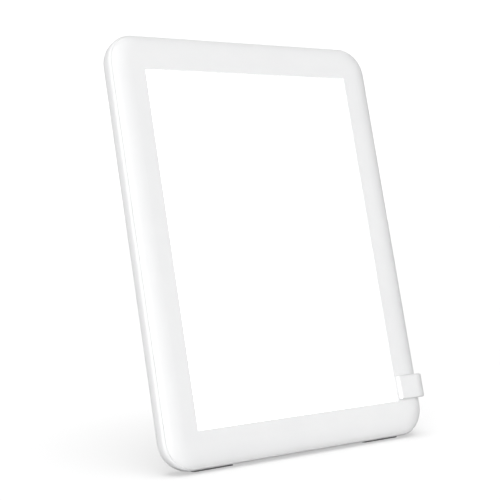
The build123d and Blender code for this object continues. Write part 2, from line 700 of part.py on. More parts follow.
def clip_profile():
    """Hook section in X and depth: lip, side and back, hugging the housing's rim."""
    side = HALF_WIDTH + CLIP_GAP
    outside = HALF_WIDTH + CLIP_THICKNESS
    lip = HALF_WIDTH - CLIP_LIP_INSET
    front = CLIP_GAP + CLIP_THICKNESS
    root = PLATE_X
    front_centre = (HALF_WIDTH - FRONT_ROUND_INSET, -FRONT_ROUND_DEPTH)
    rear_centre = (HALF_WIDTH - REAR_ROUND_INSET, REAR_ROUND_DEPTH - THICKNESS)
    outer_front = (outside - CLIP_FRONT_INSET, front - CLIP_FRONT_DEPTH)
    outer_rear = (outside - CLIP_REAR_RADIUS, CLIP_REAR_RADIUS - PLATE_BACK)
    return make_face([
        Line((root, -PLATE_BACK), (outer_rear[0], -PLATE_BACK)),
        CenterArc(outer_rear, CLIP_REAR_RADIUS, 270, 90),
        Line((outside, outer_rear[1]), (outside, outer_front[1])),
        EllipticalCenterArc(outer_front, CLIP_FRONT_INSET, CLIP_FRONT_DEPTH, start_angle=0, arc_size=90),
        Line((outer_front[0], front), (lip, front)),
        Line((lip, front), (lip, CLIP_GAP)),
        Line((lip, CLIP_GAP), (front_centre[0], CLIP_GAP)),
        EllipticalCenterArc(
            front_centre, FRONT_ROUND_INSET + CLIP_GAP, FRONT_ROUND_DEPTH + CLIP_GAP,
            start_angle=0, arc_size=90,
        ),
        Line((side, front_centre[1]), (side, rear_centre[1])),
        EllipticalCenterArc(
            rear_centre, REAR_ROUND_INSET + CLIP_GAP, REAR_ROUND_DEPTH + CLIP_GAP,
            start_angle=270, arc_size=90,
        ),
        Line((rear_centre[0], -PLATE_FRONT), (root, -PLATE_FRONT)),
        Line((root, -PLATE_FRONT), (root, -PLATE_BACK)),
    ])


def clip_hook():
    """The clip that wraps the side of the panel, with rounded outer edges."""
    lower = Plane(origin=(0, CLIP_Y - CLIP_HEIGHT / 2, 0), x_dir=(1, 0, 0), z_dir=(0, -1, 0))
    hook = extrude(lower * clip_profile(), -CLIP_HEIGHT)
    front = CLIP_GAP + CLIP_THICKNESS
    lip = HALF_WIDTH - CLIP_LIP_INSET
    outside = HALF_WIDTH + CLIP_THICKNESS
    outer_faces = [
        face for face in hook.faces()
        if abs(face.center().Z - front) < NEAR
        or abs(face.center().X - lip) < NEAR
        or face.center().X > outside - 0.4 * CLIP_FRONT_INSET and face.normal_at().X > 0
    ]
    seams = {}
    for face in outer_faces:
        for edge in face.edges():
            centre = edge.center()
            at_end = abs(abs(centre.Y - CLIP_Y) - CLIP_HEIGHT / 2) < NEAR
            at_lip = abs(centre.X - lip) < NEAR and abs(centre.Z - front) < NEAR
            if at_end or at_lip:
                seams[(round(centre.X, 3), round(centre.Y, 3), round(centre.Z, 3))] = edge
    return fillet(list(seams.values()), CLIP_EDGE_ROUND)


def ear_places():
    """X ranges of the two hinge ears."""
    half = LEG_WIDTH / 2 + EAR_GAP
    return [(PLATE_X - half - EAR_WIDTH, PLATE_X - half), (PLATE_X + half, PLATE_X + half + EAR_WIDTH)]


def stand_bracket():
    """Moulded stand bracket: back plate, clip, dovetail rail and hinge ears."""
    outline = Pos(PLATE_X, PLATE_Y) * RectangleRounded(PLATE_WIDTH, PLATE_HEIGHT, PLATE_CORNER)
    plate = slab(outline, PLATE_FRONT, PLATE_BACK)
    back_rim = plate.faces().sort_by(Axis.Z)[0].edges()
    bracket = fillet(back_rim, PLATE_EDGE_ROUND) + clip_hook()
    rail_end = HALF_WIDTH - REAR_ROUND_INSET
    bracket += along_rail(groove_outline(0), (RAIL_LEFT, rail_end), PLATE_FRONT)
    ear_y = (HINGE_Y - HINGE_RADIUS, HINGE_Y + HINGE_RADIUS)
    for x, outer_end in zip(ear_places(), (0, -1)):
        ear = side_rod(HINGE_RADIUS, x, HINGE_Y, HINGE_DEPTH)
        ear += box(x, ear_y, (PLATE_BACK - EAR_ROOT, HINGE_DEPTH))
        bracket += fillet(ear.faces().sort_by(Axis.X)[outer_end].edges(), EAR_EDGE_ROUND)
    ends = (ear_places()[0][0], ear_places()[1][1])
    return bracket - side_rod(PIN_RADIUS + PIN_SEAT, ends, HINGE_Y, HINGE_DEPTH)


def hinge_pin():
    """Steel pin through both ears and the leg."""
    ends = (ear_places()[0][0], ear_places()[1][1])
    pin = side_rod(PIN_RADIUS, ends, HINGE_Y, HINGE_DEPTH)
    return chamfer(pin.edges().filter_by(GeomType.CIRCLE), PIN_CHAMFER)


def foot_plane(above_floor):
    """Plane across the leg's foot, parallel to the floor, facing down, in the leg's frame."""
    along = LEG_REACH - above_floor / SPLAY_COS
    return Plane(origin=(0, -along, 0), x_dir=(1, 0, 0), z_dir=(0, -SPLAY_COS, SPLAY_SIN))


def leg_body():
    """Leg in its own frame: hinge axis at the origin, foot towards -Y."""
    x = (-LEG_WIDTH / 2, LEG_WIDTH / 2)
    half = LEG_THICKNESS / 2
    web = RectangleRounded(LEG_WIDTH, LEG_REACH + 2 * LEG_CORNER, LEG_CORNER)
    leg = slab(Pos(0, -LEG_REACH / 2 - LEG_CORNER) * web, -half, half)
    leg = fillet(leg.faces().sort_by(Axis.Z)[0].edges(), LEG_EDGE_ROUND)
    leg += side_rod(HINGE_RADIUS, x, 0, 0)
    bar_y = (-LEG_REACH - LEG_CORNER, FOOT_BAR_LENGTH - LEG_REACH)
    bar_half = FOOT_BAR_THICKNESS / 2
    bar = box(x, bar_y, (-bar_half, bar_half))
    leg += fillet(bar.edges().filter_by(Axis.X).group_by(Axis.Y)[-1], bar_half * 0.6)
    heel = Pos(0, HEEL_HEIGHT / 2, HINGE_STANDOFF - HEEL_GAP - HEEL_THICKNESS / 2)
    leg += Rot(-LEG_OPEN, 0, 0) * (heel * Box(HEEL_WIDTH, HEEL_HEIGHT, HEEL_THICKNESS))
    return leg


def leg_pockets():
    """Shallow pockets in the leg's front that leave long ribs between them."""
    top = -HINGE_RADIUS - LEG_RIB
    bottom = FOOT_BAR_LENGTH + LEG_RIB - LEG_REACH
    pitch = (LEG_WIDTH - LEG_RIB) / LEG_POCKETS
    width = pitch - LEG_RIB
    outline = RectangleRounded(width, top - bottom, LEG_RIB / 2)
    front = -LEG_THICKNESS / 2
    pockets = []
    for index in range(LEG_POCKETS):
        x = (index - (LEG_POCKETS - 1) / 2) * pitch
        pockets.append(slab(Pos(x, (top + bottom) / 2) * outline, front, front + LEG_POCKET_DEPTH))
    return pockets


def leg_pad_block(grow):
    """Rubber pad under the leg's foot, in the leg's frame, or grown to cut its pocket."""
    outline = RectangleRounded(
        LEG_WIDTH - 2 * LEG_PAD_MARGIN + 2 * grow, LEG_PAD_BREADTH + 2 * grow, LEG_PAD_BREADTH / 3
    )
    return extrude(foot_plane(LEG_PAD_PROUD + LEG_PAD_SINK) * outline, LEG_PAD_PROUD + LEG_PAD_SINK)


def in_open_leg(shape):
    """Turn a shape from the leg's frame to where the open leg stands."""
    return Pos(PLATE_X, HINGE_Y, -HINGE_DEPTH) * (Rot(LEG_OPEN, 0, 0) * shape)


def stand_leg():
    """Moulded leg with its hinge barrel, heel stop and foot."""
    leg = split(leg_body(), bisect_by=foot_plane(LEG_PAD_PROUD), keep=Keep.BOTTOM)
    leg -= leg_pockets()
    leg -= side_rod(PIN_RADIUS + PIN_RUNNING, (-LEG_WIDTH / 2, LEG_WIDTH / 2), 0, 0)
    leg -= leg_pad_block(FOOT_CLEARANCE)
    return in_open_leg(leg)


# ---- the whole lamp ----

def build_panel():
    """Every node of the lamp, still flat."""
    left_foot, right_foot = bottom_feet(0)
    return {
        "front_bezel": front_bezel(),
        "window_gasket": window_gasket(),
        "diffuser_plate": optic_sheet(DIFFUSER_DEPTH, GUIDE_DEPTH),
        "light_guide_plate": optic_sheet(GUIDE_DEPTH, REFLECTOR_DEPTH),
        "reflector_sheet": optic_sheet(REFLECTOR_DEPTH, TRAY_DEPTH),
        "heat_tray": heat_tray(),
        "led_board_top": led_board(1),
        "led_board_bottom": led_board(-1),
        "leds_top": led_row(1),
        "leds_bottom": led_row(-1),
        "rear_cover": rear_cover(),
        "cover_screws": cover_screws(),
        "base_feet": Compound(children=[left_foot, right_foot]),
        "driver_board": driver_board(),
        "board_screws": board_screws(),
        "driver_chip": on_board(CHIP_SIZE, BOARD_X, BOARD_BOTTOM + CHIP_PLACE),
        "power_inductor": power_inductor(),
        "smoothing_capacitor": smoothing_capacitor(),
        "board_chips": board_chips(),
        "lead_connectors": lead_connectors(),
        "lead_top_positive": lead(1, 0),
        "lead_top_negative": lead(1, 1),
        "lead_bottom_positive": lead(-1, 0),
        "lead_bottom_negative": lead(-1, 1),
        "dc_socket": dc_socket(),
        "socket_pin": socket_pin(),
        "socket_tabs": socket_tabs(),
        "switch_body": switch_body(),
        "power_button": power_button(),
        "switch_plunger": switch_plunger(),
        "stand_bracket": stand_bracket(),
        "hinge_pin": hinge_pin(),
        "stand_leg": stand_leg(),
        "leg_pad": in_open_leg(leg_pad_block(0)),
    }


def place(nodes):
    """Lean the lamp back, stand it on the floor and centre it over the origin."""
    leaning = {name: Rot(90 - LEAN, 0, 0) * shape for name, shape in nodes.items()}
    boxes = [shape.bounding_box() for shape in leaning.values()]
    middle_x = (min(b.min.X for b in boxes) + max(b.max.X for b in boxes)) / 2
    middle_y = (min(b.min.Y for b in boxes) + max(b.max.Y for b in boxes)) / 2
    move = Pos(-middle_x, -middle_y, -FLOOR_HEIGHT)
    return {name: move * shape for name, shape in leaning.items()}, move.position


def main():
    nodes, shift = place(build_panel())
    os.makedirs("parts", exist_ok=True)
    for name, shape in nodes.items():
        export_step(shape, f"parts/{name}.step")
    print("panel origin in the row frame:", tuple(round(value, 3) for value in shift))


if __name__ == "__main__":
    main()
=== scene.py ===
import json
import math

import bmesh
import bpy
from mathutils import Matrix, Vector


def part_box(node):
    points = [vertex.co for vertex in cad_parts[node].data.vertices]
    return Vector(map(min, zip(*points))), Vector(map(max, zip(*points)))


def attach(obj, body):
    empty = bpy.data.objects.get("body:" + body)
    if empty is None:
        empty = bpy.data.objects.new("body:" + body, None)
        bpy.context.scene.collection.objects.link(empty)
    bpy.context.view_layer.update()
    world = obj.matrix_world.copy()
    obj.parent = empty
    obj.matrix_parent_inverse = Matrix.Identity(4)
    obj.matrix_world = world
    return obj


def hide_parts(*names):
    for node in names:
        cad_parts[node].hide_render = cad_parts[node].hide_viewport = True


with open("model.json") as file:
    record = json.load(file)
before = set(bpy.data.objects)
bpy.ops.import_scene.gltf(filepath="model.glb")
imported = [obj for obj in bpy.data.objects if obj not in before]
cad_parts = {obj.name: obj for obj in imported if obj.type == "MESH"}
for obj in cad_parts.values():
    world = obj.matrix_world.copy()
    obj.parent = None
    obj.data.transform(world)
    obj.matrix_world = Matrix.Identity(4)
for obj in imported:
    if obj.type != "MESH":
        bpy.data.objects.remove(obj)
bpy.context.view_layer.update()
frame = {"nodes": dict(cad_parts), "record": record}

# Light therapy lamp: its looks and its stage. Lengths are in metres and directions are in the part's own
# frame, where the lamp faces -Y, leans back from the floor at Z = 0 and carries its clip towards +X.

MM = 0.001
LEAN = math.radians(15.0)
RIGHTWARDS = Vector((1.0, 0.0, 0.0))
UP_THE_PANEL = Vector((0.0, math.sin(LEAN), math.cos(LEAN)))
BACKWARDS = Vector((0.0, math.cos(LEAN), -math.sin(LEAN)))      # out of the rear cover
WHITE = (1.0, 1.0, 1.0, 1.0)

# ---- camera ----
CAMERA_PLACE = (-0.3928, -0.5262, 0.1477)
CAMERA_YAW = math.radians(-35.97)
CAMERA_PITCH = math.radians(-3.98)
CAMERA_LENS = 90.48                 # mm, on a sensor 36 mm wide
CAMERA_NEAR = 0.01

# ---- floor and backdrop ----
FLOOR_SIZE = 40.0
FLOOR_SHADE = 0.2                   # dark enough to throw little light back up at the lamp
FLOOR_GLOW = 0.50                   # makes up for that; with FLOOR_LIGHT the floor comes out white
BACKDROP_RADIUS = 2.5
BACKDROP_HEIGHT = 2.0
BACKDROP_SIDES = 96
BACKDROP_SHADE = 0.05
BACKDROP_GLOW = 1.05
PAPER_CLOUD = 0.4                   # size of the clouds in the paper's tone
PAPER_VARIATION = 0.03

# ---- light ----
FLOOR_LIGHT = 5.8                   # W/m2, from above, on the floor alone
FLOOR_LIGHT_SPREAD = math.radians(60.0)
BACK_LIGHT = 1.9                    # W/m2, from behind the lamp, on all but the floor
BACK_LIGHT_SPREAD = math.radians(20.0)
ROOM_LIGHT = 0.47                   # from all round
# Brighter regions of the room. Each fades out between two angles, in degrees, from its direction.
SOFT_LIGHTS = [
    # behind the lamp, as the camera sees it
    {"direction": (0.585, 0.811, 0.0), "strength": 0.58, "full_to": 18.0, "gone_by": 36.0},
    # broad, from the camera's side
    {"direction": (-0.75, -0.66, 0.15), "strength": 0.35, "full_to": 0.0, "gone_by": 70.0},
    # broad, from in front of the lamp
    {"direction": (0.0, -1.0, 0.15), "strength": 0.27, "full_to": 0.0, "gone_by": 70.0},
    # the main soft box, left of the camera
    {"direction": (-0.754, -0.633, 0.174), "strength": 7.2, "full_to": 8.0, "gone_by": 25.0},
]


# ---- helpers for node materials; an owner is a material or a world ----

def start_material(name, **sockets):
    """New Principled material; keyword names are socket names with spaces written as underscores."""
    material = bpy.data.materials.new(name)
    material.use_nodes = True
    for socket, value in sockets.items():
        shader_of(material).inputs[socket.replace("_", " ")].default_value = value
    return material


def shader_of(material):
    return material.node_tree.nodes["Principled BSDF"]


def add_node(owner, kind, settings=None, **sockets):
    """New node with its settings and unlinked sockets filled in."""
    node = owner.node_tree.nodes.new(kind)
    for name, value in (settings or {}).items():
        setattr(node, name, value)
    for socket, value in sockets.items():
        node.inputs[socket.replace("_", " ")].default_value = value
    return node


def link(owner, output, target):
    owner.node_tree.links.new(output, target)


def calculate(owner, operation, first, second=None):
    """Result of a Math node on an output and, where it takes one, a second output or a number."""
    node = add_node(owner, "ShaderNodeMath", {"operation": operation})
    link(owner, first, node.inputs[0])
    if isinstance(second, bpy.types.NodeSocket):
        link(owner, second, node.inputs[1])
    elif second is not None:
        node.inputs[1].default_value = second
    return node.outputs["Value"]


def coordinates(material, stretch=(1.0, 1.0, 1.0), turn=(0.0, 0.0, 0.0)):
    """Object coordinates, stretched and turned; turn brings the panel's axes onto the texture's."""
    source = add_node(material, "ShaderNodeTexCoord")
    mapping = add_node(material, "ShaderNodeMapping", Scale=stretch, Rotation=turn)
    link(material, source.outputs["Object"], mapping.inputs["Vector"])
    return mapping.outputs["Vector"]


def coordinate(material, axis):
    """The X, Y or Z of the object coordinates."""
    split = add_node(material, "ShaderNodeSeparateXYZ")
    link(material, coordinates(material), split.inputs["Vector"])
    return split.outputs[axis]


def clouds(material, size, detail=3.0, stretch=(1.0, 1.0, 1.0)):
    """Soft noise with features of about the given size."""
    noise = add_node(material, "ShaderNodeTexNoise", Scale=1.0 / size, Detail=detail, Roughness=0.55)
    link(material, coordinates(material, stretch), noise.inputs["Vector"])
    return noise.outputs["Fac"]


def grains(material, size):
    """Close-packed rounded cells of about the given size, as on a spark-eroded mould."""
    cells = add_node(
        material, "ShaderNodeTexVoronoi", {"feature": "SMOOTH_F1"}, Scale=1.0 / size, Smoothness=0.6)
    link(material, coordinates(material), cells.inputs["Vector"])
    return cells.outputs["Distance"]


def between(material, factor, low, high, start=0.25, end=0.75):
    """Spread a factor's range from start to end over two values."""
    spread = add_node(
        material, "ShaderNodeMapRange", From_Min=start, From_Max=end, To_Min=low, To_Max=high)
    link(material, factor, spread.inputs["Value"])
    return spread.outputs["Result"]


def two_tone(material, factor, first, second, start=0.3, end=0.7):
    """Colour that runs from one tone to another with a factor."""
    ramp = add_node(material, "ShaderNodeValToRGB")
    for element, position, tone in zip(ramp.color_ramp.elements, (start, end), (first, second)):
        element.position = position
        element.color = (*tone, 1.0)
    link(material, factor, ramp.inputs["Fac"])
    return ramp.outputs["Color"]


def colour(material, output):
    link(material, output, shader_of(material).inputs["Base Color"])


def roughness(material, output):
    link(material, output, shader_of(material).inputs["Roughness"])


def uneven_gloss(material, factor, middle, spread):
    """Roughness that varies a little about its middle value."""
    roughness(material, between(material, factor, low=middle - spread, high=middle + spread))


def relief(material, *layers):
    """Bump from layers of (height, depth in metres), the coarsest first."""
    normal = None
    for height, depth in layers:
        bump = add_node(material, "ShaderNodeBump", Strength=1.0, Distance=depth)
        link(material, height, bump.inputs["Height"])
        if normal is not None:
            link(material, normal, bump.inputs["Normal"])
        normal = bump.outputs["Normal"]
    link(material, normal, shader_of(material).inputs["Normal"])


# ---- materials ----

RIPPLE_DEPTH = 0.3                  # depth of a moulding's ripples, in depths of its grain

DIFFUSER_GLOW_MIDDLE = 0.8
DIFFUSER_GLOW_ENDS = 0.88

LED_COUNT = 30                      # along each LED board
LED_LENGTH = 2.8 * MM
LED_WINDOW = (0.30 * LED_LENGTH, 0.34 * LED_LENGTH)     # from its middle to where its edge starts and ends
LED_STEPS_BEFORE = 100              # whole steps, so that the pattern starts far left of every LED

COPPER_GRID = 6 * MM
DOT_PITCH = 1.1 * MM                # of the light guide's printed dots


def white_moulding(name, gloss, grain_size, grain_depth):
    """Moulded white ABS: faint flow clouding, varying gloss and the mould's own fine texture."""
    material = start_material(name, IOR=1.5, Specular_IOR_Level=0.25)
    flow = clouds(material, size=30 * MM, detail=4.0)
    ripples = clouds(material, size=1.6 * MM, detail=2.0)
    colour(material, two_tone(material, flow, first=(0.800, 0.803, 0.808), second=(0.824, 0.826, 0.828)))
    uneven_gloss(material, flow, middle=gloss, spread=0.03)
    relief(material, (ripples, RIPPLE_DEPTH * grain_depth), (grains(material, grain_size), grain_depth))
    return material


def opal_acrylic(name):
    """Opal acrylic lit from behind: evenly white, a touch brighter towards the two lit ends."""
    material = start_material(name, IOR=1.49, Emission_Color=WHITE)
    milk = clouds(material, size=12 * MM)
    colour(material, two_tone(material, milk, first=(0.88, 0.885, 0.89), second=(0.90, 0.90, 0.90)))
    roughness(material, between(material, clouds(material, size=2 * MM), low=0.42, high=0.5))
    relief(material, (grains(material, size=0.25 * MM), 0.0015 * MM))
    low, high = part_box("diffuser_plate")
    middle = (low.z + high.z) / 2
    away = calculate(material, "ABSOLUTE", calculate(material, "SUBTRACT", coordinate(material, "Z"), middle))
    glow = between(
        material, away, low=DIFFUSER_GLOW_MIDDLE, high=DIFFUSER_GLOW_ENDS, start=0.0, end=high.z - middle)
    link(material, glow, shader_of(material).inputs["Emission Strength"])
    return material


def soft_rubber(name):
    """Matt grey silicone with a dusty bloom."""
    material = start_material(name, IOR=1.45)
    bloom = clouds(material, size=4 * MM)
    colour(material, two_tone(material, bloom, first=(0.13, 0.13, 0.135), second=(0.19, 0.19, 0.19)))
    roughness(material, between(material, bloom, low=0.7, high=0.85))
    relief(material, (grains(material, size=0.2 * MM), 0.006 * MM))
    return material


def metal(name, dark, light, low, high, mark_size, stretch=(1.0, 1.0, 1.0)):
    """Bare or plated metal with its working marks, which stretch can draw out along one direction."""
    material = start_material(name, Metallic=1.0)
    marks = clouds(material, mark_size, detail=6.0, stretch=stretch)
    tarnish = clouds(material, size=5 * MM)
    colour(material, two_tone(material, tarnish, first=dark, second=light))
    roughness(material, between(material, marks, low, high))
    relief(material, (marks, 0.001 * MM))
    return material


def plain_plastic(name, first, second, gloss, grain=0.25 * MM, depth=0.003 * MM):
    """Small moulded part: clouded colour and a fine grain."""
    material = start_material(name, IOR=1.5)
    flow = clouds(material, size=3 * MM)
    colour(material, two_tone(material, flow, first, second))
    uneven_gloss(material, flow, middle=gloss, spread=0.05)
    relief(material, (grains(material, grain), depth))
    return material


def clear_acrylic(name):
    """Clear light guide with its printed grid of diffusing dots, which are rough where the rest is smooth."""
    material = start_material(name, IOR=1.49, Transmission_Weight=1.0)
    cells = add_node(material, "ShaderNodeTexVoronoi", Scale=1.0 / DOT_PITCH, Randomness=0.0)
    link(material, coordinates(material), cells.inputs["Vector"])
    from_dot = cells.outputs["Distance"]
    colour(material, two_tone(material, from_dot, first=(0.95, 0.97, 0.97), second=(0.97, 0.99, 0.985)))
    roughness(material, between(material, from_dot, low=0.6, high=0.03, start=0.3, end=0.4))
    return material


def circuit_board(name):
    """Green solder mask over copper tracks."""
    material = start_material(name, IOR=1.5)
    pattern = add_node(
        material, "ShaderNodeTexBrick", {"offset": 0.37}, Scale=1.0 / COPPER_GRID, Mortar_Size=0.03)
    onto_board = (math.pi / 2 - LEAN, 0.0, 0.0)
    link(material, coordinates(material, turn=onto_board), pattern.inputs["Vector"])
    tracks = pattern.outputs["Fac"]
    colour(material, two_tone(material, tracks, first=(0.012, 0.09, 0.035), second=(0.03, 0.16, 0.06)))
    roughness(material, between(material, clouds(material, size=4 * MM), low=0.25, high=0.35))
    relief(material, (tracks, 0.02 * MM))
    return material


def led_package(name):
    """White LED packages, each with a yellow phosphor window at its middle."""
    material = start_material(name, IOR=1.5)
    low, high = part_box("leds_top")
    pitch = (high.x - low.x - LED_LENGTH) / (LED_COUNT - 1)
    first_middle = low.x + LED_LENGTH / 2
    along = calculate(
        material, "SUBTRACT", coordinate(material, "X"), first_middle - LED_STEPS_BEFORE * pitch)
    from_middle = calculate(material, "PINGPONG", along, pitch / 2)
    window = between(material, from_middle, low=1.0, high=0.0, start=LED_WINDOW[0], end=LED_WINDOW[1])
    colour(material, two_tone(material, window, first=(0.85, 0.85, 0.83), second=(0.85, 0.62, 0.08)))
    roughness(material, between(material, window, low=0.45, high=0.3, start=0.0, end=1.0))
    relief(material, (grains(material, size=0.2 * MM), 0.002 * MM))
    return material


# Each material slot of the record: the function that makes its material, and the values it takes.
MATERIALS = {
    "housing_white": (white_moulding, dict(gloss=0.38, grain_size=0.35 * MM, grain_depth=0.0008 * MM)),
    "stand_white": (white_moulding, dict(gloss=0.46, grain_size=0.30 * MM, grain_depth=0.0016 * MM)),
    "diffuser_glow": (opal_acrylic, {}),
    "foot_rubber": (soft_rubber, {}),
    "clear_acrylic": (clear_acrylic, {}),
    "circuit_board": (circuit_board, {}),
    "led_package": (led_package, {}),
    "screw_steel": (metal, dict(
        dark=(0.55, 0.56, 0.6), light=(0.68, 0.68, 0.68), low=0.25, high=0.4, mark_size=0.3 * MM)),
    "pin_steel": (metal, dict(
        dark=(0.52, 0.52, 0.54), light=(0.62, 0.62, 0.62), low=0.18, high=0.34, mark_size=0.2 * MM,
        stretch=(0.05, 1.0, 1.0))),
    "tray_aluminium": (metal, dict(
        dark=(0.6, 0.61, 0.62), light=(0.7, 0.7, 0.7), low=0.3, high=0.45, mark_size=0.3 * MM,
        stretch=(0.02, 1.0, 1.0))),
    "contact_nickel": (metal, dict(
        dark=(0.6, 0.57, 0.5), light=(0.72, 0.7, 0.66), low=0.15, high=0.28, mark_size=0.4 * MM)),
    "reflector_film": (plain_plastic, dict(first=(0.88, 0.88, 0.88), second=(0.92, 0.92, 0.92), gloss=0.35)),
    "gasket_foam": (plain_plastic, dict(
        first=(0.5, 0.5, 0.5), second=(0.66, 0.66, 0.66), gloss=0.9, grain=0.3 * MM, depth=0.05 * MM)),
    "led_board_white": (plain_plastic, dict(first=(0.78, 0.78, 0.75), second=(0.84, 0.84, 0.82), gloss=0.35)),
    "black_moulding": (plain_plastic, dict(
        first=(0.012, 0.012, 0.013), second=(0.022, 0.022, 0.022), gloss=0.45)),
    "ferrite": (plain_plastic, dict(
        first=(0.03, 0.03, 0.033), second=(0.06, 0.06, 0.06), gloss=0.65, depth=0.01 * MM)),
    "capacitor_can": (plain_plastic, dict(first=(0.02, 0.025, 0.06), second=(0.03, 0.035, 0.08), gloss=0.3)),
    "chip_ceramic": (plain_plastic, dict(first=(0.26, 0.18, 0.1), second=(0.36, 0.26, 0.17), gloss=0.5)),
    "connector_cream": (plain_plastic, dict(first=(0.72, 0.67, 0.53), second=(0.8, 0.76, 0.64), gloss=0.5)),
    "lead_red": (plain_plastic, dict(first=(0.36, 0.01, 0.01), second=(0.5, 0.025, 0.02), gloss=0.4)),
    "lead_black": (plain_plastic, dict(first=(0.01, 0.01, 0.01), second=(0.02, 0.02, 0.02), gloss=0.4)),
}


def dress_nodes():
    """Give every CAD node the material of its slot in the record, and return the materials by slot."""
    made = {slot: make(slot, **values) for slot, (make, values) in MATERIALS.items()}
    for part in frame["record"]["subparts"]:
        mesh = frame["nodes"][part["node"]].data
        mesh.materials.clear()
        mesh.materials.append(made[part["material_slot"]])
    return made


# ---- cover screws with thread and cross recess ----

SCREW_SIDES = 32
THREAD_PITCH = 0.8 * MM
THREAD_HEIGHT = 0.14 * MM
THREAD_STEPS = 8                    # rings to each turn of the thread
THREAD_FLANKS = 0.5                 # share of the pitch; the flat root has the rest
TIP_THREAD = 0.35                   # share of the thread's height at the screw's tip
TIP_GAIN = 0.5                      # share that it gains with each turn from there
HEAD_CROWN = 0.45 * MM
CROWN_STEPS = 5
RECESS_REACH = 1.25 * MM
RECESS_ARM = 0.62 * MM
RECESS_DEPTH = 1.0 * MM
RECESS_TAPER = 0.45                 # size of its bottom, as a share of its top
WELD = 0.001 * MM
HEAD_RIM = 0.95                     # share of the head's radius from which a point is on its rim
SHANK_START = 0.1 * MM              # depth below the head from which a point is on the shank
SHARP_FROM = math.radians(35.0)


def islands(node):
    """Lists of the points of each separate solid in a CAD node."""
    joined = bmesh.new()
    joined.from_mesh(frame["nodes"][node].data)
    bmesh.ops.remove_doubles(joined, verts=joined.verts, dist=WELD)
    reached = set()
    found = []
    for start in joined.verts:
        if start in reached:
            continue
        reached.add(start)
        waiting = [start]
        solid = []
        while waiting:
            vert = waiting.pop()
            solid.append(vert.co.copy())
            for neighbour in (edge.other_vert(vert) for edge in vert.link_edges):
                if neighbour not in reached:
                    reached.add(neighbour)
                    waiting.append(neighbour)
        found.append(solid)
    joined.free()
    return found


def ring(shape, radius_at, height):
    """Closed ring of vertices about Z."""
    angles = [math.tau * step / SCREW_SIDES for step in range(SCREW_SIDES)]
    return [shape.verts.new((radius_at(a) * math.cos(a), radius_at(a) * math.sin(a), height)) for a in angles]


def bridge(shape, lower, upper):
    """Quads between two rings or outlines."""
    for step in range(len(lower)):
        after = (step + 1) % len(lower)
        shape.faces.new((lower[step], lower[after], upper[after], upper[step]))


def thread_radius(angle, height, crest, depth):
    """Distance from the axis to the surface of a right-hand thread."""
    phase = (height / THREAD_PITCH - angle / math.tau) % 1.0
    from_crest = abs(2 * phase - 1)
    return crest - depth * min(1.0, from_crest / THREAD_FLANKS)


def screw_solid(head_radius, head_height, shank_radius, length):
    """Pan-head screw about Z with a real thread; the head's underside is at Z = 0."""
    shape = bmesh.new()
    rings = []
    turns = int((length - head_height) / THREAD_PITCH)
    for step in range(turns * THREAD_STEPS + 1):
        from_tip = step / THREAD_STEPS
        height = (from_tip - turns) * THREAD_PITCH
        depth = THREAD_HEIGHT * min(1.0, TIP_THREAD + TIP_GAIN * from_tip, turns - from_tip)
        rings.append(ring(shape, lambda angle: thread_radius(angle, height, shank_radius, depth), height))
    wall = head_height - HEAD_CROWN
    rings.append(ring(shape, lambda angle: head_radius, 0.0))
    rings.append(ring(shape, lambda angle: head_radius, wall))
    for step in range(1, CROWN_STEPS + 1):
        turn = math.pi / 2 * step / CROWN_STEPS
        radius = head_radius - HEAD_CROWN * (1 - math.cos(turn))
        rings.append(ring(shape, lambda angle: radius, wall + HEAD_CROWN * math.sin(turn)))
    for lower, upper in zip(rings, rings[1:]):
        bridge(shape, lower, upper)
    shape.faces.new(reversed(rings[0]))
    shape.faces.new(rings[-1])
    return shape


def recess_cutter(top):
    """Tapered cross that is cut into the head."""
    shape = bmesh.new()
    arm = RECESS_ARM / 2
    quarter_outline = [Vector((RECESS_REACH, -arm)), Vector((RECESS_REACH, arm)), Vector((arm, arm))]
    outline = []
    for quarter in range(4):
        turn = Matrix.Rotation(quarter * math.pi / 2, 2)
        outline += [turn @ point for point in quarter_outline]
    above = [shape.verts.new((p.x, p.y, top + RECESS_ARM)) for p in outline]
    below = [shape.verts.new((p.x * RECESS_TAPER, p.y * RECESS_TAPER, top - RECESS_DEPTH)) for p in outline]
    bridge(shape, below, above)
    shape.faces.new(above)
    shape.faces.new(reversed(below))
    return shape


def new_object(name, shape):
    """Object from a bmesh, which is freed."""
    bmesh.ops.recalc_face_normals(shape, faces=shape.faces)
    mesh = bpy.data.meshes.new(name)
    shape.to_mesh(mesh)
    shape.free()
    piece = bpy.data.objects.new(name, mesh)
    bpy.context.scene.collection.objects.link(piece)
    return piece


def with_modifiers_applied(piece):
    """The piece's mesh as its modifiers leave it."""
    bpy.context.view_layer.update()
    return bpy.data.meshes.new_from_object(piece.evaluated_get(bpy.context.evaluated_depsgraph_get()))


def cut_screw(head_radius, head_height, shank_radius, length):
    """Mesh of one finished screw."""
    blank = new_object("screw_blank", screw_solid(head_radius, head_height, shank_radius, length))
    cutter = new_object("screw_cutter", recess_cutter(top=head_height))
    cut = blank.modifiers.new("recess", "BOOLEAN")
    cut.operation = "DIFFERENCE"
    cut.solver = "EXACT"
    cut.object = cutter
    mesh = with_modifiers_applied(blank)
    bpy.data.objects.remove(blank)
    bpy.data.objects.remove(cutter)
    return mesh


def smooth_by_angle(piece, limit):
    """Smooth shading that keeps edges sharp from an angle up."""
    shape = bmesh.new()
    shape.from_mesh(piece.data)
    for edge in shape.edges:
        edge.smooth = len(edge.link_faces) == 2 and edge.calc_face_angle(0.0) < limit
    for face in shape.faces:
        face.smooth = True
    shape.to_mesh(piece.data)
    shape.free()


def across(vector):
    """A vector without its part along BACKWARDS."""
    return vector - BACKWARDS * vector.dot(BACKWARDS)


